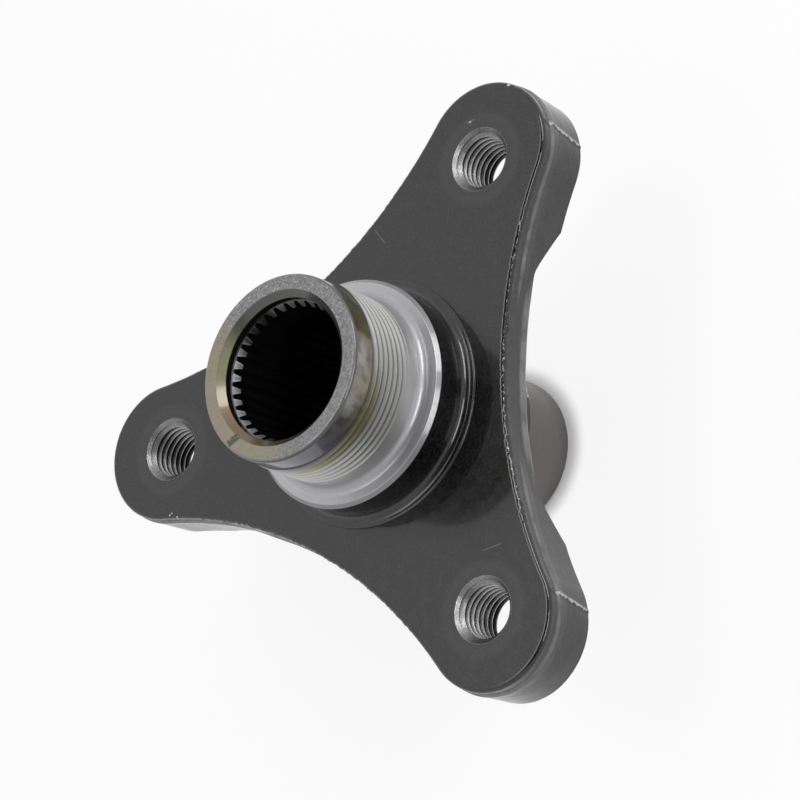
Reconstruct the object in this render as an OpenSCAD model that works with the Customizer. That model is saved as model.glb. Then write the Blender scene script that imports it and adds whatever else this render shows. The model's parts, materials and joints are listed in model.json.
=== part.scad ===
/* [Arms] */
// Diameter of the circle on which the three tapped holes lie
bolt_circle = 105; // [100:1:115]
// Distance from the axis to the centre of an arm's round end
end_centre = 54.3; // [52:0.1:56]
// Radius of an arm's round end
end_r = 14.4; // [12:0.1:16]
// Distance from the axis to the edge half-way between two arms
waist_r = 31.5; // [30:0.1:34]
// Thickness of the pad at an arm's end
pad_t = 13.5; // [12:0.1:16]
// Thickness of the web round the hub
web_t = 7.3; // [6:0.1:8]
// Radius at which the back ramp leaves the web
ramp_in_r = 42; // [40:0.1:44]
// Radius at which the back ramp reaches the pads
ramp_out_r = 48.8; // [48:0.1:51]

/* [Tapped holes] */
// Outer radius of the M12 thread
tap_r = 6; // [5:0.5:7]
// Radius of the countersink at either face
tap_mouth_r = 6.6; // [6.2:0.1:7.5]

/* [Bosses] */
// Radius of the low step at the foot of the front boss
foot_r = 25.2; // [24.6:0.1:27]
// Height of that step above the front face
foot_h = 0.6; // [0.3:0.1:1]
// Radius of the front boss
boss_r = 22.8; // [21:0.1:23]
// Height of the front boss above the front face
boss_h = 8.3; // [6:0.1:10]
// Radius of the back boss
back_boss_r = 20.2; // [20:0.1:22]
// Depth of the back boss's end below the front face
back_boss_z = 26.2; // [22:0.1:30]

/* [Hub] */
// Radius of the hub's shank, a press fit in the forging
shank_r = 18; // [17.5:0.1:18.5]
// Depth of the shank's rear end below the front face
shank_z = 10; // [9:0.5:14]
// Radius of the collar that seats on the front boss
collar_r = 23.2; // [22:0.1:24]
// Thickness of the collar
collar_t = 1.8; // [1.2:0.1:3]
// Outer radius of the M38 thread on the nose
nose_r = 19; // [18.8:0.1:20]
// Radius of the plain land in front of the thread
land_r = 18.6; // [18:0.1:18.7]
// Height at which the land meets the thread
land_z = 23.9; // [20:0.1:25]
// Height of the nose's end face above the front face
nose_h = 29.5; // [28:0.5:34]
// Radius of the bore's mouth at the end face
mouth_r = 15.5; // [15:0.1:16.5]
// Radius of the plain counterbore in front of the splines
counterbore_r = 14.1; // [14.1:0.05:14.5]
// Height of the splines' front ends above the front face
spline_front_z = 26.4; // [24:0.1:27]

/* [Splines] */
// Number of teeth
teeth = 34; // [24:1:40]
// Module of the teeth
spline_module = 0.8; // [0.6:0.05:1]
// Pressure angle of the teeth
pressure_angle = 30; // [25:1:37]
// Angle of the first tooth, measured from the X axis
tooth_phase = 3.2; // [0:0.1:10]

/* [Seal journal] */
// Radius on which the shaft seal runs
journal_r = 16; // [15.9:0.1:17]
// Radius of its front part, a press fit in the back boss
seat_r = 15.4; // [15.2:0.1:15.8]
// Radius of its bore, which clears the splined shaft
journal_bore_r = 14.3; // [14.1:0.1:14.8]
// Depth of its rear end below the front face
journal_z = 45.5; // [40:0.5:50]

/* [Hidden] */
$fn = 96;
arms = 3;
arm_step = 360 / arms;
first_arm = 90;
over = 1;
black_paint = "#2b2b2d";
turned_steel = "#b4b5b6";
ground_steel = "#6a6564";

// The valley between two arms is one arc, tangent to both round ends, and the outline's arcs are
// drawn with this many straight steps each
valley_r = (pow(end_r, 2) - pow(waist_r, 2) - pow(end_centre, 2) + end_centre * waist_r)
    / (2 * waist_r - end_centre - 2 * end_r);
valley_centre = waist_r + valley_r;
end_half_span = atan2(valley_centre * sin(arm_step / 2), valley_centre * cos(arm_step / 2) - end_centre);
valley_half_span = end_half_span - arm_step / 2;
end_steps = 40;
valley_steps = 20;

// Splines: pitch, root, tip and base radii, and the space's half angle at the pitch radius
pitch_r = teeth * spline_module / 2;
spline_root_r = pitch_r + spline_module / 2;
spline_tip_r = pitch_r - spline_module / 2;
base_r = pitch_r * cos(pressure_angle);
half_space = 90 / teeth;
flank_steps = 3;
lead_in = 1.5;

function on_circle(r, a) = [r * cos(a), r * sin(a)];
function involute(a) = (tan(a) - a * PI / 180) * 180 / PI;
function space_angle(r) = half_space + involute(pressure_angle) - involute(acos(base_r / r));
function flank(side) = [
    for (i = [0:flank_steps])
        let (r = spline_tip_r + (spline_root_r - spline_tip_r) * i / flank_steps)
            on_circle(r, side * space_angle(r))
];
function reversed(list) = [for (i = [len(list) - 1:-1:0]) list[i]];

// The sliver between a corner and the arc that rounds it. Added it fills an inside corner,
// and taken away it rounds an outside one. toward points from the corner to the arc's centre.
module corner(at, r, toward) {
    difference() {
        translate([at[0] + min(0, toward[0]) * r, at[1] + min(0, toward[1]) * r]) square(r);
        translate(at + r * toward) circle(r);
    }
}

// The star's outline: a round end on each arm, and between two arms a hollow arc tangent to both
star_outline = [
    for (i = [0:arms - 1]) each concat(
        [for (k = [0:end_steps])
            on_circle(end_centre, i * arm_step)
                + on_circle(end_r, i * arm_step + end_half_span * (2 * k / end_steps - 1))],
        [for (k = [1:valley_steps - 1])
            on_circle(valley_centre, (i + 0.5) * arm_step)
                + on_circle(valley_r, (i + 0.5) * arm_step + 180
                    + valley_half_span * (1 - 2 * k / valley_steps))]
    )
];

// The star at the pads' thickness
module star_blank() {
    translate([0, 0, -pad_t]) linear_extrude(pad_t) polygon(star_outline);
}

// The back of the web, hollowed out to leave thick pads at the arms' ends
module back_relief() {
    ramp_run = (ramp_out_r - ramp_in_r) / (pad_t - web_t);
    rotate_extrude()
        polygon([
            [0, -web_t],
            [ramp_in_r, -web_t],
            [ramp_out_r + over * ramp_run, -pad_t - over],
            [0, -pad_t - over]
        ]);
}

// Front and back boss in one turned profile, with the foot step and its fillets
module bosses() {
    foot_fillet = 1.7;
    web_fillet = 3;
    foot_round = 0.4;
    front_edge_round = 0.4;
    back_edge_round = 1;
    rotate_extrude()
        difference() {
            union() {
                translate([0, -web_t / 2]) square([foot_r, web_t / 2 + foot_h]);
                square([boss_r, boss_h]);
                corner([boss_r, foot_h], foot_fillet, [1, 1]);
                translate([0, -back_boss_z]) square([back_boss_r, back_boss_z - web_t / 2]);
                corner([back_boss_r, -web_t], web_fillet, [1, -1]);
            }
            corner([foot_r, foot_h], foot_round, [-1, -1]);
            corner([boss_r, boss_h], front_edge_round, [-1, -1]);
            corner([back_boss_r, -back_boss_z], back_edge_round, [-1, 1]);
        }
}

// Stepped bore: the hub's shank sits in the front part and the seal journal's seat in the rear part
module forging_bore() {
    translate([0, 0, -shank_z]) cylinder(r = shank_r, h = shank_z + boss_h + over);
    translate([0, 0, -back_boss_z - over]) cylinder(r = seat_r, h = back_boss_z + over);
}

module tapped_holes() {
    sink = tap_mouth_r - tap_r;
    for (i = [0:arms - 1])
        rotate([0, 0, i * arm_step])
            translate([bolt_circle / 2, 0, 0])
                rotate_extrude()
                    polygon([
                        [0, over],
                        [tap_mouth_r + over, over],
                        [tap_r, -sink],
                        [tap_r, -pad_t + sink],
                        [tap_mouth_r + over, -pad_t - over],
                        [0, -pad_t - over]
                    ]);
}

// Web, arms and pads, without the bosses and holes
module star() {
    difference() {
        star_blank();
        back_relief();
    }
}

// Black forging: three arms with pads, web and both bosses
module arm_flange() {
    color(black_paint)
        rotate([0, 0, first_arm])
            difference() {
                union() {
                    star();
                    bosses();
                }
                forging_bore();
                tapped_holes();
            }
}

// Everything inside the splines' outline: the round bore and one involute space per tooth
module spline_outline() {
    circle(spline_tip_r);
    for (i = [0:teeth - 1])
        rotate(tooth_phase + (i + 0.5) * 360 / teeth)
            polygon(concat([[spline_tip_r - over, 0]], flank(-1), reversed(flank(1))));
}

// Turned hub: shank, collar, threaded nose and splined bore
module splined_hub() {
    neck_fillet = 1.8;
    collar_round = 0.3;
    nose_chamfer = 0.75;
    mouth_z = nose_h - (mouth_r - counterbore_r);
    color(turned_steel)
        difference() {
            rotate_extrude()
                difference() {
                    union() {
                        translate([0, -shank_z]) square([shank_r, shank_z + nose_h]);
                        translate([0, boss_h]) square([collar_r, collar_t]);
                        polygon([
                            [0, boss_h],
                            [nose_r, boss_h],
                            [nose_r, land_z],
                            [land_r, land_z + nose_r - land_r],
                            [land_r, nose_h - nose_chamfer],
                            [land_r - nose_chamfer, nose_h],
                            [0, nose_h]
                        ]);
                        corner([nose_r, boss_h + collar_t], neck_fillet, [1, 1]);
                    }
                    corner([collar_r, boss_h + collar_t], collar_round, [-1, -1]);
                }
            translate([0, 0, -shank_z - over])
                linear_extrude(shank_z + spline_front_z + over) spline_outline();
            rotate_extrude()
                polygon([
                    [0, spline_front_z - lead_in],
                    [spline_tip_r, spline_front_z - lead_in],
                    [spline_root_r, spline_front_z],
                    [counterbore_r, spline_front_z],
                    [counterbore_r, mouth_z],
                    [mouth_r + over, nose_h + over],
                    [0, nose_h + over]
                ]);
        }
}

// Ground sleeve behind the forging, on which the shaft seal runs. Its shoulder seats on the back boss.
module seal_journal() {
    seal_lead_in = 0.7;
    bore_chamfer = 0.4;
    color(ground_steel)
        rotate_extrude()
            polygon([
                [journal_bore_r, -shank_z],
                [seat_r, -shank_z],
                [seat_r, -back_boss_z],
                [journal_r, -back_boss_z],
                [journal_r, -journal_z + seal_lead_in],
                [journal_r - seal_lead_in, -journal_z],
                [journal_bore_r + bore_chamfer, -journal_z],
                [journal_bore_r, -journal_z + bore_chamfer]
            ]);
}

arm_flange();
splined_hub();
seal_journal();
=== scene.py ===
import json
import math

import bpy
from mathutils import Matrix, Quaternion, Vector, noise


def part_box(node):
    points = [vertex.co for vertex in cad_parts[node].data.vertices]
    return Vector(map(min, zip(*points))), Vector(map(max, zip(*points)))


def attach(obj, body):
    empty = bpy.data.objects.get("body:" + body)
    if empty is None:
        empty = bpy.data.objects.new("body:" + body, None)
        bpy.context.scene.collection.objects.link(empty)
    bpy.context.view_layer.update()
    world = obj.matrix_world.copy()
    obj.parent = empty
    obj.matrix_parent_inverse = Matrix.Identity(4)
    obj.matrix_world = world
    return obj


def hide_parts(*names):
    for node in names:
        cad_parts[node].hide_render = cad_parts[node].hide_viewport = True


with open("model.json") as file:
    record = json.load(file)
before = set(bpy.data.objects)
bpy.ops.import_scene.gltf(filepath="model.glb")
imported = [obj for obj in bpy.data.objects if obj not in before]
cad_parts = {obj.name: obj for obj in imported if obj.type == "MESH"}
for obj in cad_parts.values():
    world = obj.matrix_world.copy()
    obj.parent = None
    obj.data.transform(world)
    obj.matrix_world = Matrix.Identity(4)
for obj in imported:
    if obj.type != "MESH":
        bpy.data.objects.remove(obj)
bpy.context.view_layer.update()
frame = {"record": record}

MM = 0.001
# Metres, further out than any piece
FAR = 1
MOUNTS = {m["name"]: m for m in frame["record"]["mounts"]}

# Sizes in millimetres. What the frame's mounts and boxes give is read from them.
HOLE_CIRCLE_R = MOUNTS["coupling_bolts"]["dims"]["pcd_mm"] / 2
TAP_R = MOUNTS["coupling_bolts"]["dims"]["hole_r_mm"]
SINK = -MOUNTS["coupling_bolts"]["pos_m"][2] / MM
TAP_MOUTH_R = TAP_R + SINK
NOSE_R = MOUNTS["nose_thread"]["dims"]["r_mm"]
NOSE_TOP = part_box("splined_hub")[1].z / MM
COLLAR_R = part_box("splined_hub")[1].x / MM
SHANK_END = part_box("splined_hub")[0].z / MM
PLATE_BACK = MOUNTS["pad_back"]["pos_m"][2] / MM
BACK_BOSS_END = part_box("arm_flange")[0].z / MM
BOSS_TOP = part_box("arm_flange")[1].z / MM
JOURNAL_R = MOUNTS["seal_journal"]["dims"]["r_mm"]
JOURNAL_BORE_R = MOUNTS["shaft_bore"]["dims"]["r_mm"]
FLOOR_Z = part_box("seal_journal")[0].z / MM

# The rest is measured in the photograph, or is a standard size
ARMS = 3
FIRST_ARM = 90
END_R = 14.4
END_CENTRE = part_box("arm_flange")[1].y / MM - END_R
WAIST_R = 31.5
WEB_BACK = -7.3
RAMP_IN_R = 40.6
RAMP_OUT_R = 48.8
FRONT_ROUND = 0.9
FOOT_R = 25.2
FOOT_TOP = 0.6
BOSS_R = 22.8
BACK_BOSS_R = 20.2
SHANK_R = 18
SEAT_R = 15.4

COLLAR_CHAMFER = 0.9
LAND_R = 18.6
LAND_LOW = 23.9
NOSE_CHAMFER = 0.75
MOUTH_R = 15.5
COUNTERBORE_R = 14.1
SPLINE_TOP = 26.4
SPLINE_LEAD = 1.5
TEETH = 34
SPLINE_MODULE = 0.8
SPLINE_TIP_R = (TEETH - 1) * SPLINE_MODULE / 2
SPLINE_ROOT_R = (TEETH + 1) * SPLINE_MODULE / 2
PRESSURE_ANGLE = math.radians(30)
TOOTH_PHASE = 3.2
THREAD_PITCH = 1.5
THREAD_DEPTH = 0.92
THREAD_LOW = 13.3
TAP_DEPTH = 0.81

# The side from the front edge backwards: height, and how far it stands out from the outline. Where the forging's
# flash was trimmed a narrow ledge is left, low on the pads' sides and at the back edge of the web between them.
PAD_SIDE = [(0, 0), (-2, -0.1), (-2.7, -0.1), (-3.25, 0.3), (-3.5, 0.32), (-5, 0.15), (-13.1, -0.15), (-13.5, -0.5)]
WEB_SIDE = [(0, 0), (-5.4, -0.1), (-6.3, 0.6), (-6.6, 0.6), (-7.3, 0.2)]

# The witness line across two arms' round ends: its direction at the front face and its turn with depth
WITNESS_ANGLE = 44.9
WITNESS_TURN = 0.66

TURN_STEPS = 192
END_STEPS = 150
VALLEY_STEPS = 230


# Modelling


def on_circle(r, degrees):
    return Vector((r * math.cos(math.radians(degrees)), r * math.sin(math.radians(degrees))))


def hole_centres():
    return [on_circle(HOLE_CIRCLE_R, FIRST_ARM + arm * 360 / ARMS) for arm in range(ARMS)]


def between(value, start, end):
    """Rises smoothly from 0 at start to 1 at end."""
    share = min(1, max(0, (value - start) / (end - start)))
    return share * share * (3 - 2 * share)


def follow(points, x):
    """The value at x on the straight lines through points, which run towards smaller x."""
    for (x0, y0), (x1, y1) in zip(points, points[1:]):
        if x >= x1:
            return y0 + (y1 - y0) * (x0 - x) / (x0 - x1)
    return points[-1][1]


def rounded(corners, steps=5):
    """The points of a closed outline through corners (x, y) or (x, y, radius), each radius an arc."""
    points = []
    for i, corner in enumerate(corners):
        here = Vector(corner[:2])
        if len(corner) == 2:
            points.append(here)
            continue
        before = (Vector(corners[i - 1][:2]) - here).normalized()
        after = (Vector(corners[(i + 1) % len(corners)][:2]) - here).normalized()
        half = before.angle(after) / 2
        centre = here + (before + after).normalized() * corner[2] / math.sin(half)
        start = here + before * corner[2] / math.tan(half) - centre
        end = here + after * corner[2] / math.tan(half) - centre
        turn = start.angle_signed(end)
        for k in range(steps + 1):
            points.append(centre + Matrix.Rotation(-turn * k / steps, 2) @ start)
    return points


def select_only(piece):
    bpy.ops.object.select_all(action="DESELECT")
    piece.select_set(True)
    bpy.context.view_layer.objects.active = piece


def select_edges(piece, test):
    """In edit mode, selects the edges for whose two vertices test is true, and nothing else."""
    bpy.ops.mesh.select_mode(type="EDGE")
    bpy.ops.mesh.select_all(action="DESELECT")
    bpy.ops.object.mode_set(mode="OBJECT")
    vertices = piece.data.vertices
    for edge in piece.data.edges:
        edge.select = all(test(vertices[v].co / MM) for v in edge.vertices)
    bpy.ops.object.mode_set(mode="EDIT")


def mesh_piece(name, points, edges=(), faces=()):
    mesh = bpy.data.meshes.new(name)
    mesh.from_pydata([Vector(p) * MM for p in points], edges, faces)
    piece = bpy.data.objects.new(name, mesh)
    bpy.context.scene.collection.objects.link(piece)
    select_only(piece)
    return piece


def turned(name, section, solid=False, steps=TURN_STEPS):
    """Spins a section of (radius, height) points round the axis. A solid one starts and ends on the axis."""
    points = [(r, 0, z) for r, z in section]
    edges = [(i, i + 1) for i in range(len(points) - 1)]
    if not solid:
        edges.append((len(points) - 1, 0))
    piece = mesh_piece(name, points, edges)
    bpy.ops.object.mode_set(mode="EDIT")
    bpy.ops.mesh.select_all(action="SELECT")
    bpy.ops.mesh.spin(steps=steps, angle=2 * math.pi, center=(0, 0, 0), axis=(0, 0, 1))
    bpy.ops.mesh.select_all(action="SELECT")
    bpy.ops.mesh.remove_doubles(threshold=0.0005 * MM)
    bpy.ops.mesh.normals_make_consistent(inside=False)
    bpy.ops.object.mode_set(mode="OBJECT")
    return piece


def stacked(name, outline, levels):
    """A straight-sided solid over a closed outline, with a ring of vertices at each level."""
    piece = mesh_piece(name, [(x, y, levels[0]) for x, y in outline], faces=[range(len(outline))])
    bpy.ops.object.mode_set(mode="EDIT")
    bpy.ops.mesh.select_all(action="SELECT")
    for low, high in zip(levels, levels[1:]):
        bpy.ops.mesh.extrude_region_move(TRANSFORM_OT_translate={"value": (0, 0, (high - low) * MM)})
    bpy.ops.mesh.select_all(action="SELECT")
    bpy.ops.mesh.normals_make_consistent(inside=False)
    bpy.ops.object.mode_set(mode="OBJECT")
    return piece


def apply_modifiers(piece):
    select_only(piece)
    for modifier in list(piece.modifiers):
        bpy.ops.object.modifier_apply(modifier=modifier.name)


def combine(piece, tool, operation):
    """Adds a tool to a piece or cuts it out, and removes the tool."""
    boolean = piece.modifiers.new(operation.lower(), "BOOLEAN")
    boolean.operation = operation
    boolean.solver = "EXACT"
    boolean.object = tool
    apply_modifiers(piece)
    bpy.data.objects.remove(tool)
    return piece


def moved_copy(piece, name, offset):
    """A copy with its own mesh, which holds its place."""
    copy = piece.copy()
    copy.data = piece.data.copy()
    copy.name = copy.data.name = name
    copy.data.transform(Matrix.Translation(Vector(offset) * MM))
    bpy.context.scene.collection.objects.link(copy)
    return copy


def thread_groove(name, crest_r, depth, low, high, fades, steps):
    """The solid that cuts a 60 degree helical groove: outside a bar where depth is above 0, inside a hole
    where it is below. The groove fades in and out over so many turns at its low and high end."""
    crest_flat, root_flat = THREAD_PITCH / 8, THREAD_PITCH / 6
    clear_r = crest_r + depth + math.copysign(0.3, depth)
    mouth = (THREAD_PITCH - crest_flat) / 2
    section = [(clear_r, mouth), (crest_r, mouth), (crest_r - depth, root_flat / 2),
               (crest_r - depth, -root_flat / 2), (crest_r, -mouth), (clear_r, -mouth)]
    turns = (high - low) / THREAD_PITCH
    total = round(turns * steps)
    corners = len(section)
    piece = mesh_piece(name, [(r, 0, low + z) for r, z in section], [(i, (i + 1) % corners) for i in range(corners)])
    screw = piece.modifiers.new("screw", "SCREW")
    screw.angle = 2 * math.pi * total / steps
    screw.screw_offset = THREAD_PITCH * MM * total / steps
    screw.steps = screw.render_steps = total
    screw.use_normal_calculate = True
    apply_modifiers(piece)
    for vertex in piece.data.vertices:
        angle = math.atan2(vertex.co.y, vertex.co.x) / (2 * math.pi) % 1
        r = vertex.co.xy.length
        rise = (vertex.co.z / MM - low) / THREAD_PITCH
        turn = round(rise - angle) + angle
        fade = min(1, max(0, turn / fades[0]), max(0, (turns - turn) / fades[1]))
        shift = (1 - fade) * depth * MM if abs(r / MM - clear_r) > 0.01 else 0
        vertex.co.xy *= (r + shift) / r
    bpy.ops.object.mode_set(mode="EDIT")
    bpy.ops.mesh.select_all(action="SELECT")
    bpy.ops.mesh.fill_holes(sides=0)
    bpy.ops.mesh.normals_make_consistent(inside=False)
    bpy.ops.object.mode_set(mode="OBJECT")
    return piece


def finish_piece(piece, material, nodes=()):
    """Smooths all but a piece's sharp edges, gives it its material and lets it ride and stand for its nodes."""
    select_only(piece)
    bpy.ops.object.shade_smooth_by_angle(angle=math.radians(30))
    piece.modifiers.new("flat faces stay flat", "WEIGHTED_NORMAL").keep_sharp = True
    apply_modifiers(piece)
    piece.data.materials.clear()
    piece.data.materials.append(material)
    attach(piece, "root")
    if nodes:
        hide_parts(*nodes)
    return piece


# Materials


def linear(code):
    """An sRGB hex colour as linear red, green, blue and alpha."""
    parts = [int(code[i:i + 2], 16) / 255 for i in (1, 3, 5)]
    return [c / 12.92 if c <= 0.04045 else ((c + 0.055) / 1.055) ** 2.4 for c in parts] + [1]


def add(tree, kind, *values, **settings):
    """Adds a node and gives back its first output. Settings come by name. The open inputs take the values in order,
    each a number, a colour or another node's output, and None leaves an input as it is."""
    new = tree.nodes.new(kind)
    for name, value in settings.items():
        setattr(new, name, value)
    for socket, value in zip([socket for socket in new.inputs if socket.enabled], values):
        if isinstance(value, bpy.types.NodeSocket):
            tree.links.new(value, socket)
        elif value is not None:
            socket.default_value = value
    return next(socket for socket in new.outputs if socket.enabled)


def new_material(name):
    material = bpy.data.materials.new(name)
    material.use_nodes = True
    tree = material.node_tree
    shader = tree.nodes["Principled BSDF"]
    place = add(tree, "ShaderNodeTexCoord").node.outputs["Object"]
    return material, tree, shader, place


def layer(tree, below, colour, share, *shares):
    """Lays a colour over another where every share is 1, and thinly where they are less."""
    for other in shares:
        share = add(tree, "ShaderNodeMath", share, other, operation="MULTIPLY")
    return add(tree, "ShaderNodeMix", share, below, colour, data_type="RGBA")


def band(tree, value, low, high, soft):
    """1 where a value lies between two limits, and fading to 0 over soft on either side of them."""
    rise = add(tree, "ShaderNodeMapRange", value, low - soft, low + soft, interpolation_type="SMOOTHSTEP")
    fall = add(tree, "ShaderNodeMapRange", value, high - soft, high + soft, 1, 0, interpolation_type="SMOOTHSTEP")
    return add(tree, "ShaderNodeMath", rise, fall, operation="MULTIPLY")


def relief(tree, shader, *layers):
    """Bump from pairs of a height between 0 and 1 and what 1 stands for in millimetres."""
    normal = None
    for height, depth in layers:
        normal = add(tree, "ShaderNodeBump", None, depth * MM, None, height, normal)
    tree.links.new(normal, shader.inputs["Normal"])


def around_axis(tree, place):
    """Distance from the axis, angle round it and height, as three outputs."""
    parts = add(tree, "ShaderNodeSeparateXYZ", place).node.outputs
    level = add(tree, "ShaderNodeVectorMath", place, (1, 1, 0), operation="MULTIPLY")
    distance = add(tree, "ShaderNodeVectorMath", level, operation="LENGTH")
    angle = add(tree, "ShaderNodeMath", parts["Y"], parts["X"], operation="ARCTAN2")
    return distance, angle, parts["Z"]


def from_hole(tree, place):
    """Distance from the axis of the nearest tapped hole."""
    level = add(tree, "ShaderNodeVectorMath", place, (1, 1, 0), operation="MULTIPLY")
    nearest = FAR
    for centre in hole_centres():
        away = add(tree, "ShaderNodeVectorMath", level, (*centre * MM, 0), operation="DISTANCE")
        nearest = add(tree, "ShaderNodeMath", nearest, away, operation="MINIMUM")
    return nearest


def facing(tree, place, degrees, half_width, soft):
    """1 on the side of the axis that lies in a direction, to half_width degrees on either side of it."""
    level = add(tree, "ShaderNodeVectorMath", place, (1, 1, 0), operation="MULTIPLY")
    unit = add(tree, "ShaderNodeVectorMath", level, operation="NORMALIZE")
    towards = add(tree, "ShaderNodeVectorMath", unit, (*on_circle(1, degrees), 0), operation="DOT_PRODUCT")
    start = math.cos(math.radians(min(180, half_width + soft)))
    full = math.cos(math.radians(half_width - soft))
    return add(tree, "ShaderNodeMapRange", towards, start, full, interpolation_type="SMOOTHSTEP")


def spots(tree, place, centres):
    """Ragged spots at (x, y, z, radius) in millimetres."""
    grain, raggedness, soft = 0.7 * MM, 1.6 * MM, 0.08 * MM
    shift = add(tree, "ShaderNodeTexNoise", place, 1 / grain).node.outputs["Color"]
    shift = add(tree, "ShaderNodeVectorMath", shift, (0.5, 0.5, 0.5), operation="SUBTRACT")
    ragged = add(tree, "ShaderNodeVectorMath", shift, (raggedness,) * 3, place, operation="MULTIPLY_ADD")
    result = 0.0
    for x, y, z, radius in centres:
        away = add(tree, "ShaderNodeVectorMath", ragged, Vector((x, y, z)) * MM, operation="DISTANCE")
        result = add(tree, "ShaderNodeMath", result, band(tree, away, -FAR, radius * MM, soft), operation="MAXIMUM")
    return result


def scratches(tree, place, ends):
    """Fine straight scratches on the front face, from (x, y) to (x, y) in millimetres."""
    half_width, fade = 0.06 * MM, 0.3 * MM
    result = 0.0
    for start, end in ends:
        start, end = Vector((*start, 0)) * MM, Vector((*end, 0)) * MM
        run = (end - start).normalized()
        cross = Vector((-run.y, run.x, 0))
        middle = start.dot(cross)
        along = add(tree, "ShaderNodeVectorMath", place, run, operation="DOT_PRODUCT")
        aside = add(tree, "ShaderNodeVectorMath", place, cross, operation="DOT_PRODUCT")
        long = band(tree, along, start.dot(run), end.dot(run), fade)
        thin = band(tree, aside, middle - half_width, middle + half_width, half_width)
        line = add(tree, "ShaderNodeMath", long, thin, operation="MULTIPLY")
        result = add(tree, "ShaderNodeMath", result, line, operation="MAXIMUM")
    return result


# Where bare steel shows on the forging: x, y, z and radius in millimetres
CHIPS = [(-0.9, 68.2, -0.2, 0.35), (1.2, 68, -0.4, 0.3), (49, -5.6, -0.3, 0.35), (50.4, -6.4, -0.3, 0.3),
         (52.6, -7.6, -0.4, 0.35), (54.2, -8.8, -0.3, 0.3), (55.5, -10, -0.3, 0.35), (-38.4, -38.2, -0.3, 0.35),
         (-36.6, -38.4, -0.4, 0.3), (30.4, 9.5, 0, 0.12), (27.8, 10, 0, 0.1), (-6.1, 58.7, 0, 0.15),
         (14.1, 14.4, -25.6, 0.7), (14.9, 13.6, -25.2, 0.4)]
SCRATCHES = [((-17.8, 31.7), (-14, 30.1)), ((39.9, -16.2), (43.1, -13.6)), ((-7.2, 58.2), (-5.4, 59.4))]


def black_enamel():
    """Black gloss enamel sprayed on a forging. It mirrors the room softly, with a faint orange peel. The forging's
    waves and pits show through on its sides, and bare steel shines in chips and along the rough front edge. A lighter
    grey highlight is painted on the trimmed ledge of the sides."""
    material, tree, shader, place = new_material("black_enamel_on_forged_steel")
    height = add(tree, "ShaderNodeSeparateXYZ", place).node.outputs["Z"]
    front = band(tree, height, -0.1 * MM, 1 * MM, 0.05 * MM)
    forged = band(tree, height, -FAR, -0.8 * MM, 0.3 * MM)

    # The tool that faced the seats left faint rings round the tapped holes
    nearest = from_hole(tree, place)
    rings = add(tree, "ShaderNodeTexNoise", nearest, 1 / (0.45 * MM), 1, noise_dimensions="1D")
    for share in (front, band(tree, nearest, 6.9 * MM, 9.6 * MM, 0.8 * MM)):
        rings = add(tree, "ShaderNodeMath", rings, share, operation="MULTIPLY")

    # Bare steel: small chips, the knocked edges that the mesh marks, and faintly the scratches
    knocks = add(tree, "ShaderNodeAttribute", attribute_name="knocks").node.outputs["Fac"]
    nicks = add(tree, "ShaderNodeTexNoise", place, 1 / (0.8 * MM), 4)
    worn = add(tree, "ShaderNodeMath", knocks, 0.5, nicks, operation="MULTIPLY_ADD")
    worn = add(tree, "ShaderNodeMapRange", worn, 1, 1.06, 0, 0.7, interpolation_type="SMOOTHSTEP")
    scratched = add(tree, "ShaderNodeMath", front, scratches(tree, place, SCRATCHES), operation="MULTIPLY")
    scratched = add(tree, "ShaderNodeMath", scratched, 0.2, operation="MULTIPLY")
    bare = spots(tree, place, CHIPS)
    for extra in (worn, scratched):
        bare = add(tree, "ShaderNodeMath", bare, extra, operation="MAXIMUM")

    speckle = add(tree, "ShaderNodeTexNoise", place, 1 / (0.5 * MM), 1)
    speckle = add(tree, "ShaderNodeMapRange", speckle, 0.36, 0.68, interpolation_type="SMOOTHSTEP")
    paint = layer(tree, linear("#030304"), linear("#191919"), speckle)
    paint = layer(tree, paint, linear("#3a3a38"), rings, 0.45)
    # Painted highlight: the trimmed ledge is drawn a lighter grey, in patches, for the light stripe it catches on the
    # sides
    ledge = add(tree, "ShaderNodeAttribute", attribute_name="ledge").node.outputs["Fac"]
    highlight_patches = add(tree, "ShaderNodeTexNoise", place, 1 / (6 * MM), 3)
    highlight_patches = add(tree, "ShaderNodeMapRange", highlight_patches, 0.3, 0.6, 0.35, 0.9)
    paint = layer(tree, paint, linear("#6e6e6f"), ledge, highlight_patches)
    paint = layer(tree, paint, linear("#c4c4c2"), bare)
    tree.links.new(paint, shader.inputs["Base Color"])
    tree.links.new(bare, shader.inputs["Metallic"])

    mottle = add(tree, "ShaderNodeTexNoise", place, 1 / (2.5 * MM), 4)
    mottle = add(tree, "ShaderNodeMapRange", mottle, 0.3, 0.7, 0.2, 0.3)
    tree.links.new(mottle, shader.inputs["Roughness"])
    shader.inputs["Specular IOR Level"].default_value = 0.35
    shader.inputs["Coat Weight"].default_value = 0.6
    shader.inputs["Coat Roughness"].default_value = 0.08

    peel = add(tree, "ShaderNodeTexNoise", place, 1 / (0.9 * MM))
    waves = add(tree, "ShaderNodeTexNoise", place, 1 / (5 * MM), 3)
    waves = add(tree, "ShaderNodeMath", forged, waves, operation="MULTIPLY")
    pits = add(tree, "ShaderNodeTexNoise", place, 1 / (0.8 * MM))
    pits = add(tree, "ShaderNodeMath", forged, pits, operation="MULTIPLY")
    relief(tree, shader, (peel, 0.002), (rings, 0.004), (waves, 0.06), (pits, 0.012), (bare, -0.03))
    return material


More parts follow.
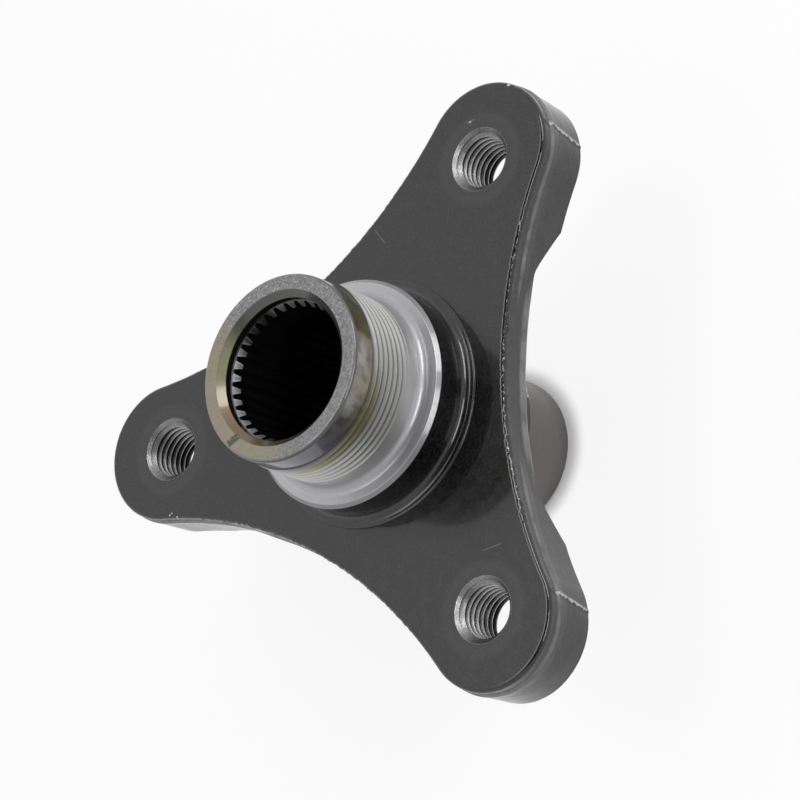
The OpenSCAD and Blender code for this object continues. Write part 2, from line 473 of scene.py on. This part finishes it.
def turned_steel():
    """Carbon steel turned in a lathe, degreased but not polished: satin, with fine rings that follow the tool,
    a grainy end face, and straw, brown and purple tints from the heat of hardening the nose."""
    material, tree, shader, place = new_material("turned_carbon_steel")
    distance, angle, height = around_axis(tree, place)

    # The tool's feed is about 0.15 mm. It is drawn twice as coarse, so that it shows.
    feed = 0.3 * MM
    polar = add(tree, "ShaderNodeCombineXYZ", distance, angle, height)
    marks = add(tree, "ShaderNodeVectorMath", polar, (1 / feed, 0.8, 1 / feed), operation="MULTIPLY")
    marks = add(tree, "ShaderNodeTexNoise", marks, 1, 3)
    spokes = add(tree, "ShaderNodeVectorMath", polar, (150, 55, 150), operation="MULTIPLY")
    spokes = add(tree, "ShaderNodeTexNoise", spokes, 1, 3)
    grit = add(tree, "ShaderNodeTexNoise", place, 1 / (0.45 * MM), 1)

    # Where each surface of the hub is
    end_face = band(tree, height, (NOSE_TOP - 0.15) * MM, FAR, 0.1 * MM)
    nose = band(tree, height, 23 * MM, FAR, 0.8 * MM)
    land = band(tree, height, LAND_LOW * MM, (NOSE_TOP - NOSE_CHAMFER) * MM, 0.3 * MM)
    shoulder_shade = band(tree, height, (NOSE_TOP - NOSE_CHAMFER) * MM, (NOSE_TOP - 0.1) * MM, 0.15 * MM)
    runout_shade = band(tree, height, (LAND_LOW - 0.15) * MM, (LAND_LOW + 0.4) * MM, 0.1 * MM)
    thread = band(tree, height, THREAD_LOW * MM, LAND_LOW * MM, 1 * MM)
    neck = band(tree, height, 10.4 * MM, LAND_LOW * MM, 0.5 * MM)
    rim_shade = band(tree, height, BOSS_TOP * MM, (BOSS_TOP + COLLAR_CHAMFER - 0.1) * MM, 0.1 * MM)
    plain = band(tree, height, 0, THREAD_LOW * MM, 1 * MM)
    inside = band(tree, distance, 0, (COUNTERBORE_R + 0.05) * MM, 0.05 * MM)
    wall = band(tree, height, (SPLINE_TOP + 0.1) * MM, FAR, 0.1 * MM)
    bevel_low = NOSE_TOP - MOUTH_R + COUNTERBORE_R
    bevel = add(tree, "ShaderNodeMath", band(tree, distance, 0, (MOUTH_R + 0.1) * MM, 0.15 * MM),
                band(tree, height, (bevel_low - 0.05) * MM, (NOSE_TOP - 0.1) * MM, 0.1 * MM), operation="MULTIPLY")

    # The teeth's front ends lie on the lead-in's cone, where distance - slope * height has one value
    slope = SPLINE_MODULE / SPLINE_LEAD
    cone = add(tree, "ShaderNodeMath", height, -slope, distance, operation="MULTIPLY_ADD")
    cone_place = (SPLINE_ROOT_R - slope * SPLINE_TOP) * MM
    cone = band(tree, cone, cone_place - 0.06 * MM, cone_place + 0.06 * MM, 0.03 * MM)

    # Bare steel, with a painted highlight on the thread's crests and painted shade in its roots
    steel = layer(tree, linear("#8f8f91"), linear("#a6a6a8"), marks)
    steel = layer(tree, steel, layer(tree, linear("#9f9fa1"), linear("#b8b8ba"), marks), neck)
    # Painted shade: the collar's chamfer is drawn darker, to dim the lamps' reflection on it
    steel = layer(tree, steel, linear("#7a7a7c"), rim_shade)
    root = add(tree, "ShaderNodeMapRange", distance, (NOSE_R - 0.65) * MM, (NOSE_R - 0.25) * MM, 1, 0,
               interpolation_type="SMOOTHSTEP")
    steel = layer(tree, steel, layer(tree, linear("#b6b6b2"), linear("#50504c"), root), thread, 0.8)

    # Heat tints on the nose, and a dark line of painted shade in the groove where the thread runs out
    steel = layer(tree, steel, linear("#6e6a3c"), facing(tree, place, -25, 30, 25),
                  band(tree, height, 20.5 * MM, 24.5 * MM, 1.5 * MM), 0.8)
    cloud = add(tree, "ShaderNodeTexNoise", place, 1 / (6 * MM), 3)
    cloud = add(tree, "ShaderNodeMapRange", cloud, 0.17, 0.67, interpolation_type="SMOOTHSTEP")
    steel = layer(tree, steel, linear("#6c6039"), land, cloud, 0.9)
    patches = add(tree, "ShaderNodeTexNoise", place, 1 / (2.5 * MM))
    patches = add(tree, "ShaderNodeMapRange", patches, 0.4, 0.7, interpolation_type="SMOOTHSTEP")
    steel = layer(tree, steel, linear("#45422a"), land, patches, 0.7)
    steel = layer(tree, steel, linear("#55536a"), nose, facing(tree, place, -58, 36, 20), 0.75)
    # Painted reflection: the rounded edge round the nose's end face is drawn dark, for the dark room it mirrors
    steel = layer(tree, steel, linear("#403f3c"), shoulder_shade, 0.9)
    steel = layer(tree, steel, linear("#26241a"), runout_shade)

    # The end face: grainy, with a few painted glints on one side and straw to brown on the other
    grains = add(tree, "ShaderNodeMapRange", grit, 0.25, 0.75, interpolation_type="SMOOTHSTEP")
    face = layer(tree, linear("#5c5c5e"), linear("#7b7b7c"), grains)
    painted_glints = add(tree, "ShaderNodeTexNoise", place, 1 / (0.35 * MM))
    painted_glints = add(tree, "ShaderNodeMapRange", painted_glints, 0.62, 0.7, interpolation_type="SMOOTHSTEP")
    face = layer(tree, face, linear("#a9a9a9"), painted_glints, facing(tree, place, 105, 65, 15))
    steel = layer(tree, steel, face, end_face)
    blotch = add(tree, "ShaderNodeTexNoise", place, 1 / (5 * MM))
    blotch = add(tree, "ShaderNodeMapRange", blotch, 0.25, 0.75, interpolation_type="SMOOTHSTEP")
    straw = layer(tree, linear("#7d785a"), linear("#8b735a"), blotch)
    bleached = add(tree, "ShaderNodeTexNoise", place, 1 / (2.5 * MM), 4)
    bleached = add(tree, "ShaderNodeMapRange", bleached, 0.31, 0.81, interpolation_type="SMOOTHSTEP")
    straw = layer(tree, straw, linear("#7b7a70"), bleached)
    steel = layer(tree, steel, straw, end_face, facing(tree, place, 236, 58, 26), 0.85)

    # The bore's bevel, wall and splines. The bevel is drawn dark as painted shade, with brown and olive tints on two
    # sides, and inside the bore is drawn near black as painted shade
    steel = layer(tree, steel, linear("#4a4b46"), bevel)
    steel = layer(tree, steel, linear("#735c40"), bevel, facing(tree, place, 250, 44, 22), 0.85)
    steel = layer(tree, steel, linear("#70715a"), bevel, facing(tree, place, 192, 18, 16), 0.8)
    steel = layer(tree, steel, linear("#1e1e1d"), inside)
    steel = layer(tree, steel, linear("#24241f"), inside, wall)
    # Painted highlight: the teeth's front ends are drawn light on two sides and dark elsewhere
    lit_tooth_ends = layer(tree, linear("#3c3c3e"), linear("#b0b0b4"), facing(tree, place, 226, 44, 14))
    lit_tooth_ends = layer(tree, lit_tooth_ends, linear("#8b8b8d"), facing(tree, place, 112, 26, 8))
    steel = layer(tree, steel, lit_tooth_ends, inside, cone)

    # A fitter's green paint mark across the end face
    mark_middle, mark_line = Vector((-3.15, -16.2, 0)) * MM, Vector((*on_circle(1, 57), 0))
    from_mark = add(tree, "ShaderNodeVectorMath", place, mark_middle, operation="SUBTRACT")
    along = add(tree, "ShaderNodeVectorMath", from_mark, mark_line, operation="DOT_PRODUCT")
    aside = add(tree, "ShaderNodeVectorMath", from_mark, (-mark_line.y, mark_line.x, 0), operation="DOT_PRODUCT")
    patchy = add(tree, "ShaderNodeTexNoise", place, 1 / (0.6 * MM))
    patchy = add(tree, "ShaderNodeMapRange", patchy, 0.24, 0.48, interpolation_type="SMOOTHSTEP")
    steel = layer(tree, steel, linear("#2f3626"), band(tree, along, -1.5 * MM, 1.5 * MM, 0.2 * MM),
                  band(tree, aside, -0.75 * MM, 0.75 * MM, 0.2 * MM), end_face, patchy, 0.9)
    tree.links.new(steel, shader.inputs["Base Color"])

    # Satin, duller on the end face and in the bore
    satin = add(tree, "ShaderNodeMapRange", spokes, 0.3, 0.7, 0.44, 0.54)
    satin = add(tree, "ShaderNodeMath", end_face, 0.08, satin, operation="MULTIPLY_ADD")
    satin = add(tree, "ShaderNodeMath", inside, 0.15, satin, operation="MULTIPLY_ADD")
    tree.links.new(satin, shader.inputs["Roughness"])
    shader.inputs["Metallic"].default_value = 1.0
    shader.inputs["Coat Weight"].default_value = 1.0
    shader.inputs["Coat Roughness"].default_value = 0.12
    spokes = add(tree, "ShaderNodeMath", spokes, plain, operation="MULTIPLY")
    grit = add(tree, "ShaderNodeMath", grit, end_face, operation="MULTIPLY")
    relief(tree, shader, (marks, 0.003), (spokes, 0.0015), (grit, 0.02))
    return material


def cut_steel():
    """Steel cut by a tap and a countersink: fine-grained and bright, with a painted highlight on the thread's crests
    and painted shade in its roots.
    """
    material, tree, shader, place = new_material("tapped_carbon_steel")
    height = add(tree, "ShaderNodeSeparateXYZ", place).node.outputs["Z"]
    nearest = from_hole(tree, place)
    grit = add(tree, "ShaderNodeTexNoise", place, 1 / (0.4 * MM), 3)
    grains = add(tree, "ShaderNodeMapRange", grit, 0.3, 0.7, interpolation_type="SMOOTHSTEP")
    steel = layer(tree, linear("#747475"), linear("#8f8f8f"), grains)
    cut = band(tree, height, (PLATE_BACK + 1.2) * MM, -1.9 * MM, 0.8 * MM)
    # Painted highlight: the thread's crests are drawn lighter
    steel = layer(tree, steel, linear("#b8b8b8"), band(tree, nearest, 0, (TAP_R - 0.66) * MM, 0.06 * MM), cut)
    # Painted shade: the thread's roots are drawn dark
    root = add(tree, "ShaderNodeMapRange", nearest, (TAP_R - 0.52) * MM, (TAP_R - 0.32) * MM,
               interpolation_type="SMOOTHSTEP")
    steel = layer(tree, steel, linear("#30302e"), root, cut)
    tree.links.new(steel, shader.inputs["Base Color"])
    shader.inputs["Metallic"].default_value = 1.0
    shader.inputs["Roughness"].default_value = 0.4
    relief(tree, shader, (grit, 0.03))
    return material


def ground_steel():
    """Carbon steel ground on its outside for a seal: even and warm grey, with hair-fine lines round it."""
    material, tree, shader, place = new_material("ground_carbon_steel")

    # The wheel's grit leaves lines about 0.05 mm apart. They are drawn at 0.25 mm, so that they show.
    line = 0.25 * MM
    lines = add(tree, "ShaderNodeCombineXYZ", *around_axis(tree, place))
    lines = add(tree, "ShaderNodeVectorMath", lines, (1 / line, 1.5, 1 / line), operation="MULTIPLY")
    lines = add(tree, "ShaderNodeTexNoise", lines, 1, 2)
    film = add(tree, "ShaderNodeTexNoise", place, 1 / (7 * MM), 3)
    steel = layer(tree, linear("#6d6b6a"), linear("#777473"), film)
    steel = layer(tree, steel, linear("#848180"), lines, 0.6)
    tree.links.new(steel, shader.inputs["Base Color"])
    shader.inputs["Metallic"].default_value = 1.0
    polish = add(tree, "ShaderNodeMapRange", film, 0.3, 0.7, 0.24, 0.32)
    tree.links.new(polish, shader.inputs["Roughness"])
    relief(tree, shader, (lines, 0.002))
    return material


# Pieces


def star_outline():
    """A round end on each arm, and between two arms a hollow arc tangent to both."""
    step = 360 / ARMS
    valley_r = ((END_R ** 2 - WAIST_R ** 2 - END_CENTRE ** 2 + END_CENTRE * WAIST_R)
                / (2 * WAIST_R - END_CENTRE - 2 * END_R))
    valley_centre = WAIST_R + valley_r
    towards_valley = on_circle(valley_centre, step / 2) - Vector((END_CENTRE, 0))
    end_half = math.degrees(math.atan2(towards_valley.y, towards_valley.x))
    valley_half = end_half - step / 2
    points = []
    for arm in range(ARMS):
        along = FIRST_ARM + arm * step
        for k in range(END_STEPS + 1):
            turn = along + end_half * (2 * k / END_STEPS - 1)
            points.append(on_circle(END_CENTRE, along) + on_circle(END_R, turn))
        along += step / 2
        for k in range(1, VALLEY_STEPS):
            turn = along + 180 + valley_half * (1 - 2 * k / VALLEY_STEPS)
            points.append(on_circle(valley_centre, along) + on_circle(valley_r, turn))
    return points


def witness_distance(x, y, z):
    """How far a point on a side lies from the line that the trimming die left across two arms' round ends."""
    nearest = 100
    for arm in (0, 2):
        end = on_circle(END_CENTRE, FIRST_ARM + arm * 360 / ARMS)
        if math.hypot(x - end.x, y - end.y) < END_R + 0.8:
            angle = math.degrees(math.atan2(y - end.y, x - end.x))
            nearest = min(nearest, abs(math.radians(angle - WITNESS_ANGLE - WITNESS_TURN * z) * END_R))
    return nearest


def pad_share(r):
    """0 on the web's side between two arms, and 1 on the pads' sides."""
    return between(r, 34, 41)


def side_height(r, z):
    """The height to look up in the pads' profile, whose ledge drops a little towards the web."""
    return z + 0.35 * min(1, max(0, (49 - r) / 13))


def side_shape(x, y, z):
    """How far the forging's side stands out from the outline at a point."""
    r = math.hypot(x, y)
    pad = pad_share(r)
    out = pad * follow(PAD_SIDE, side_height(r, z)) + (1 - pad) * follow(WEB_SIDE, z)
    ridge = 0.2 * math.exp(-(witness_distance(x, y, z) / 0.35) ** 2)
    waves = 0.07 * noise.noise(Vector((x, y, z)) / 6) + 0.02 * noise.noise(Vector((x, y, z)) / 1.5)
    return out + between(z, -0.7, -1.4) * (ridge + waves)


def ledge_share(r, z):
    """1 on the ledge where the flash was sheared off and a highlight is painted, and 0 away from it."""
    pad = pad_share(r)
    high = side_height(r, z)
    on_pad = between(high, -3.6, -3.15) * between(high, -2.55, -2.85)
    on_web = between(z, -7.1, -6.3) * between(z, -5.2, -5.7)
    return pad * on_pad + (1 - pad) * on_web


def star_plate():
    """The arms at the pads' full thickness, with a rough rounded front edge and a forged side."""
    # Closer together where the side's profile bends
    levels = [PLATE_BACK, -13.1, -12.5, -11.9, -11.3, -10.7, -10.1, -9.5, -8.9, -8.3, -7.8, -7.3, -6.95, -6.6, -6.3,
              -6, -5.7, -5.4, -5, -4.6, -4.2, -3.8, -3.5, -3.25, -3, -2.85, -2.7, -2.5, -2.2, -1.8, -1.2, 0]
    plate = stacked("painted_forging", star_outline(), levels)
    bpy.ops.object.mode_set(mode="EDIT")
    select_edges(plate, lambda p: p.z > -0.01)
    bpy.ops.mesh.bevel(offset=FRONT_ROUND * MM, segments=4, profile=0.5, affect="EDGES")
    bpy.ops.object.mode_set(mode="OBJECT")
    places = [(Vector(v.co) / MM, Vector((v.normal.x, v.normal.y))) for v in plate.data.vertices]
    for vertex, (place, outward) in zip(plate.data.vertices, places):
        if outward.length < 0.01:
            continue
        out = side_shape(*place)

        # The front edge is torn between the arms and smoother round their ends
        if place.z > -FRONT_ROUND - 0.01:
            rough = 1 - 0.85 * between(place.xy.length, 44, 52)
            tear = max(0, noise.noise(place / 0.55) + 0.5 * noise.noise(place / 0.3))
            out += rough * (0.16 * noise.noise(place / 0.8) + 0.25 * tear)
            vertex.co.z -= min(0.25, rough * 0.3 * tear * -place.z / FRONT_ROUND) * MM
        vertex.co.xy += outward.normalized() * out * MM
    return plate


def back_hollow():
    """The solid that thins the plate to the web and leaves a ramp up to each pad."""
    inner_r = SHANK_R + 2
    section = rounded([(0, PLATE_BACK - 1), (RAMP_OUT_R + 3, PLATE_BACK - 1), (RAMP_OUT_R + 3, PLATE_BACK - 0.01),
                       (RAMP_OUT_R, PLATE_BACK - 0.01, 2), (RAMP_IN_R, WEB_BACK, 2), (inner_r, WEB_BACK),
                       (inner_r, 1), (0, 1)])
    return turned("hollow", section, solid=True)


def painted_forging():
    forging = star_plate()
    hole = turned("hole", [(0, PLATE_BACK - 1), (TAP_MOUTH_R + 1, PLATE_BACK - 1), (TAP_R, PLATE_BACK + SINK),
                           (TAP_R, -SINK), (TAP_MOUTH_R + 1, 1), (0, 1)], solid=True, steps=96)
    holes = [moved_copy(hole, f"hole_{arm}", (*centre, 0)) for arm, centre in enumerate(hole_centres())]
    bpy.data.objects.remove(hole)
    combine(forging, back_hollow(), "DIFFERENCE")
    for hole in holes:
        combine(forging, hole, "DIFFERENCE")
    bosses = rounded([
        (SEAT_R, BACK_BOSS_END), (BACK_BOSS_R, BACK_BOSS_END, 1), (BACK_BOSS_R, WEB_BACK, 3),
        (BACK_BOSS_R + 5, WEB_BACK), (BACK_BOSS_R + 4.5, WEB_BACK + 1), (FOOT_R, -3), (FOOT_R, FOOT_TOP, 0.4),
        (BOSS_R, FOOT_TOP, 1.7), (BOSS_R, BOSS_TOP, 0.4), (SHANK_R, BOSS_TOP), (SHANK_R, SHANK_END),
        (SEAT_R, SHANK_END)])
    combine(forging, turned("bosses", bosses), "UNION")

    # Marks for the material: how hard each point gets knocked, and where the trimmed ledge is, on which the material
    # paints a highlight
    knocks, ledge = [], []
    for vertex in forging.data.vertices:
        place = vertex.co / MM
        r = place.xy.length
        outside = r > WAIST_R - 1 and min((place.xy - centre).length for centre in hole_centres()) > TAP_R + 2
        on_edge = 0.2 < vertex.normal.z < 0.97 and place.z > -0.9
        on_side = abs(vertex.normal.z) < 0.9 and place.z > PLATE_BACK + 1
        ridge = 1.3 * math.exp(-(witness_distance(*place) / 0.6) ** 2) * between(place.z, -1.6, -2.6)
        edge = on_edge * (0.75 - 0.45 * between(r, 42, 46))
        knocks.append(outside * max(ridge * on_side, edge))
        ledge.append(outside * on_side * ledge_share(r, place.z))
    forging.data.attributes.new("knocks", "FLOAT", "POINT").data.foreach_set("value", knocks)
    forging.data.attributes.new("ledge", "FLOAT", "POINT").data.foreach_set("value", ledge)
    return finish_piece(forging, black_enamel(), ["arm_flange"])


def tapped_threads():
    """The three tapped threads with their bright countersinks, cut in thin sleeves that line the holes."""
    skin = 0.02
    minor_r = TAP_R - TAP_DEPTH
    back = PLATE_BACK
    sleeve = turned("tapped_thread", [
        (minor_r, back + TAP_MOUTH_R - minor_r), (TAP_MOUTH_R - skin, back - skin), (TAP_MOUTH_R + skin, back - skin),
        (TAP_R + skin, back + SINK), (TAP_R + skin, -SINK), (TAP_MOUTH_R + skin, skin), (TAP_MOUTH_R - skin, skin),
        (minor_r, minor_r - TAP_MOUTH_R)], steps=96)
    groove = thread_groove("groove", minor_r, skin - TAP_DEPTH, back - THREAD_PITCH, THREAD_PITCH - SINK,
                           (0.1, 0.1), 64)
    steel = cut_steel()
    for name, centre in zip("abc", hole_centres()):
        # The hollow is cut out first. Cut through a finished thread it left a scrap standing now and then.
        thread = moved_copy(sleeve, f"tapped_thread_{name}", (*centre, 0))
        combine(thread, back_hollow(), "DIFFERENCE")
        combine(thread, moved_copy(groove, f"groove_{name}", (*centre, 0)), "DIFFERENCE")
        finish_piece(thread, steel)
    for tool in (sleeve, groove):
        bpy.data.objects.remove(tool)


def spline_spaces():
    """The outline that cuts the spaces between the internal involute teeth."""
    base_r = TEETH * SPLINE_MODULE / 2 * math.cos(PRESSURE_ANGLE)
    flank_steps = 3
    outline = []
    for tooth in range(TEETH):
        middle = TOOTH_PHASE + (tooth + 0.5) * 360 / TEETH
        flank = []
        for k in range(flank_steps + 1):
            r = SPLINE_TIP_R + (SPLINE_ROOT_R - SPLINE_TIP_R) * k / flank_steps
            slope = math.acos(base_r / r)
            half = 90 / TEETH + math.degrees(math.tan(PRESSURE_ANGLE) - PRESSURE_ANGLE
                                             - math.tan(slope) + slope)
            flank.append((r, half))
        inner = (SPLINE_TIP_R - 0.3, flank[0][1] * 1.05)
        for r, half in [inner] + flank:
            outline.append(on_circle(r, middle - half))
        for r, half in reversed([inner] + flank):
            outline.append(on_circle(r, middle + half))
    return outline


def threaded_hub():
    section = rounded([
        (SPLINE_TIP_R, SHANK_END), (SHANK_R, SHANK_END), (SHANK_R, BOSS_TOP), (COLLAR_R, BOSS_TOP, 0.1),
        (COLLAR_R - COLLAR_CHAMFER, BOSS_TOP + COLLAR_CHAMFER, 0.1), (NOSE_R, BOSS_TOP + COLLAR_CHAMFER, 1.8),
        (NOSE_R, LAND_LOW), (LAND_R, LAND_LOW + NOSE_R - LAND_R), (LAND_R, NOSE_TOP, NOSE_CHAMFER),
        (MOUTH_R, NOSE_TOP, 0.12),
        (COUNTERBORE_R, NOSE_TOP - MOUTH_R + COUNTERBORE_R, 0.1), (COUNTERBORE_R, SPLINE_TOP),
        (SPLINE_ROOT_R, SPLINE_TOP), (SPLINE_TIP_R, SPLINE_TOP - SPLINE_LEAD)])
    hub = turned("threaded_hub", section)
    combine(hub, stacked("spaces", spline_spaces(), [SHANK_END - 1, SPLINE_TOP + 0.4]), "DIFFERENCE")
    groove = thread_groove("groove", NOSE_R, THREAD_DEPTH, THREAD_LOW, LAND_LOW + 0.4, (1.2, 0.2), 144)
    combine(hub, groove, "DIFFERENCE")
    return finish_piece(hub, turned_steel(), ["splined_hub"])


def ground_journal():
    journal = turned("ground_journal", rounded([
        (JOURNAL_BORE_R, SHANK_END), (SEAT_R, SHANK_END), (SEAT_R, BACK_BOSS_END), (JOURNAL_R, BACK_BOSS_END, 0.1),
        (JOURNAL_R, FLOOR_Z + 0.7, 0.2), (JOURNAL_R - 0.7, FLOOR_Z), (JOURNAL_BORE_R + 0.4, FLOOR_Z),
        (JOURNAL_BORE_R, FLOOR_Z + 0.4)]))
    return finish_piece(journal, ground_steel(), ["seal_journal"])


# Stage


def make_camera():
    """The photograph's view: place and aim in millimetres, and the roll about the line of sight."""
    place = Vector((417.3, 21.7, 483.6))
    aim = Vector((6.05, 2.97, 0))
    roll = math.radians(68.43)
    camera = bpy.data.objects.new("camera", bpy.data.cameras.new("camera"))
    bpy.context.scene.collection.objects.link(camera)
    camera.location = place * MM
    sight = (aim - place).to_track_quat("-Z", "Y")
    camera.rotation_mode = "QUATERNION"
    camera.rotation_quaternion = sight @ Quaternion((0, 0, 1), -roll)
    camera.data.lens = 145.96
    camera.data.clip_start = 0.01
    camera.data.dof.use_dof = False
    bpy.context.scene.camera = camera


def make_floor():
    """A pale floor at the journal's end. The camera and mirrors see it paler than it is, but not inside the bore."""
    half = 3000
    floor = mesh_piece("floor", [(x, y, FLOOR_Z) for x, y in ((-half, -half), (half, -half), (half, half),
                                                             (-half, half))], faces=[(0, 1, 2, 3)])
    material, tree, shader, place = new_material("pale_floor")
    distance = around_axis(tree, place)[0]
    outside = add(tree, "ShaderNodeMapRange", distance, JOURNAL_R * MM, (JOURNAL_R + 4) * MM,
                  interpolation_type="SMOOTHSTEP")
    shader.inputs["Base Color"].default_value = linear("#dadada")
    shader.inputs["Roughness"].default_value = 0.9
    shader.inputs["Specular IOR Level"].default_value = 0.0
    rays = add(tree, "ShaderNodeLightPath").node.outputs
    seen = add(tree, "ShaderNodeMath", rays["Is Camera Ray"], 0.85, operation="MULTIPLY")
    mirrored = add(tree, "ShaderNodeMath", rays["Is Glossy Ray"], rays["Is Transmission Ray"], operation="MAXIMUM")
    mirrored = add(tree, "ShaderNodeMath", mirrored, 0.35, operation="MULTIPLY")
    share = add(tree, "ShaderNodeMath", seen, mirrored, operation="MAXIMUM")
    share = add(tree, "ShaderNodeMath", share, outside, operation="MULTIPLY")
    white = add(tree, "ShaderNodeEmission", (1, 1, 1, 1), 1)
    mix = add(tree, "ShaderNodeMixShader", share, shader.outputs[0], white)
    tree.links.new(mix, tree.nodes["Material Output"].inputs["Surface"])
    floor.data.materials.append(material)


def soft_box(name, azimuth, elevation, distance, width, height, radiance):
    """A rectangular lamp that faces the part, in degrees and metres."""
    lamp = bpy.data.lights.new(name, "AREA")
    lamp.shape = "RECTANGLE"
    lamp.size = width
    lamp.size_y = height
    lamp.energy = radiance * math.pi * width * height
    holder = bpy.data.objects.new(name, lamp)
    bpy.context.scene.collection.objects.link(holder)
    level = on_circle(distance * math.cos(math.radians(elevation)), azimuth)
    holder.location = (*level, distance * math.sin(math.radians(elevation)))
    holder.rotation_mode = "QUATERNION"
    holder.rotation_quaternion = holder.location.to_track_quat("Z", "Y")


def make_light():
    """A white room, dark above and behind the camera, with two soft boxes below that."""
    scene = bpy.context.scene
    scene.view_settings.view_transform = "Standard"
    world = bpy.data.worlds.new("studio")
    scene.world = world
    world.use_nodes = True
    tree = world.node_tree
    azimuth, elevation = 15, math.radians(56)
    dark = Vector((*on_circle(math.cos(elevation), azimuth), math.sin(elevation)))
    way = add(tree, "ShaderNodeTexCoord").node.outputs["Generated"]
    towards = add(tree, "ShaderNodeVectorMath", way, dark, operation="DOT_PRODUCT")
    room = add(tree, "ShaderNodeMapRange", towards, math.cos(math.radians(48)), math.cos(math.radians(28)), 1, 0.05,
               interpolation_type="SMOOTHSTEP")
    camera_ray = add(tree, "ShaderNodeLightPath").node.outputs["Is Camera Ray"]
    strength = add(tree, "ShaderNodeMath", room, camera_ray, operation="MAXIMUM")
    tree.links.new(strength, tree.nodes["Background"].inputs["Strength"])
    tree.nodes["Background"].inputs["Color"].default_value = (1, 1, 1, 1)
    soft_box("soft_box_right", 16, 34, 0.8, 0.46, 0.2, 8)
    soft_box("soft_box_left", 68, 32, 0.8, 0.4, 0.2, 8)
    soft_box("soft_box_above", 183, 75, 0.9, 0.7, 0.36, 3)


make_camera()
painted_forging()
tapped_threads()
threaded_hub()
ground_journal()
make_floor()
make_light()
